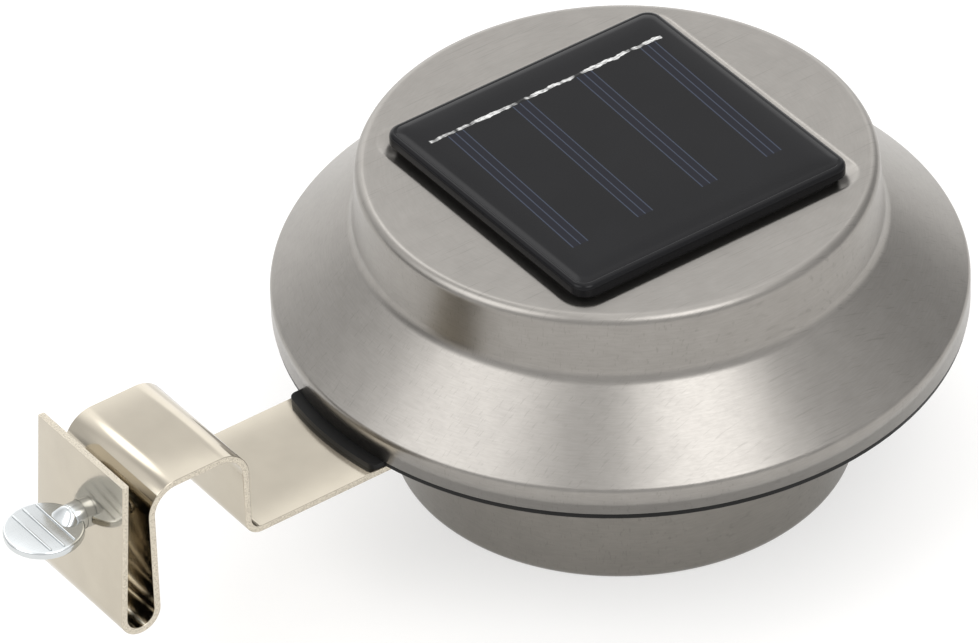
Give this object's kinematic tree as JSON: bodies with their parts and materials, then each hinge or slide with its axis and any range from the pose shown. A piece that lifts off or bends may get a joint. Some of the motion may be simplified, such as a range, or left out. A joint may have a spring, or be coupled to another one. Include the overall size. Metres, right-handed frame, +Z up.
{
  "type": "fence light",
  "caption": "Solar fence light: steel hat with a square panel over a round lamp cup, held by a bent strip clamp with a thumb screw.",
  "frame": {"origin": "middle of the underside of the clamp's saddle, where it sits on the fence or gutter edge", "axes": "+X from the clamp along the arm to the lamp, +Z up, +Y across the strip"},
  "size_m": [0.1781, 0.115, 0.06],
  "materials": {
    "battery_sleeve": "plain shrink sleeve",
    "board_green": "green solder mask",
    "board_white": "white solder mask",
    "chip_black": "moulded epoxy",
    "contact_nickel": "nickel-plated spring steel",
    "cover_clear": "clear poured resin",
    "cup_steel": "satin brushed stainless steel",
    "fastener_steel": "zinc-plated steel",
    "foot_nylon": "black nylon",
    "hat_steel": "satin brushed stainless steel",
    "holder_black": "black ABS",
    "knob_black": "black nylon",
    "lens_clear": "clear polycarbonate",
    "light_clear": "clear epoxy",
    "panel_black": "glossy black ABS",
    "plate_black": "black ABS",
    "reflector_silver": "metallised plastic",
    "ribbon_tin": "tinned copper",
    "screw_zinc": "bright zinc plate",
    "seal_foam": "black foam",
    "seal_rubber": "black rubber",
    "silicon": "dark blue-black silicon",
    "strip_nickel": "polished nickel plate",
    "switch_case": "black plastic"
  },
  "bodies": {
    "lamp": {"arm_screws": "fastener_steel", "base_plate": "plate_black", "battery": "battery_sleeve", "battery_holder": "holder_black", "board_parts": "chip_black", "board_screws": "fastener_steel", "bracket": "strip_nickel", "cell_ribbon": "ribbon_tin", "circuit_board": "board_green", "contact_minus": "contact_nickel", "contact_plus": "contact_nickel", "cup_screws": "fastener_steel", "hat_screws": "fastener_steel", "lamp_ring": "cup_steel", "lens": "lens_clear", "light_1": "light_clear", "light_2": "light_clear", "light_3": "light_clear", "light_board": "board_white", "panel_cover": "cover_clear", "panel_frame": "panel_black", "panel_seal": "seal_foam", "reflector": "reflector_silver", "rim_seal": "seal_rubber", "solar_cells": "silicon", "switch_body": "switch_case", "top_cover": "hat_steel"},
    "foot": {"screw_foot": "foot_nylon"},
    "screw": {"thumb_screw": "screw_zinc"},
    "switch_knob": {"switch_slider": "knob_black"}
  },
  "joints": [
    {"name": "screw_turn", "type": "hinge", "parent": "foot", "child": "screw", "pos_m": [-0.022, 0, -0.008], "axis": [1, 0, 0], "range_deg": [-3600, 0]},
    {"name": "screw_travel", "type": "slide", "parent": "lamp", "child": "foot", "axis": [1, 0, 0], "range_m": [-0.008, 0]},
    {"name": "switch_slide", "type": "slide", "parent": "lamp", "child": "switch_knob", "axis": [0, 1, 0], "range_m": [0, 0.002]}
  ],
  "couplings": [
    {"joint": "screw_turn", "follows": "screw_travel", "rad_per_m": 7854}
  ]
}
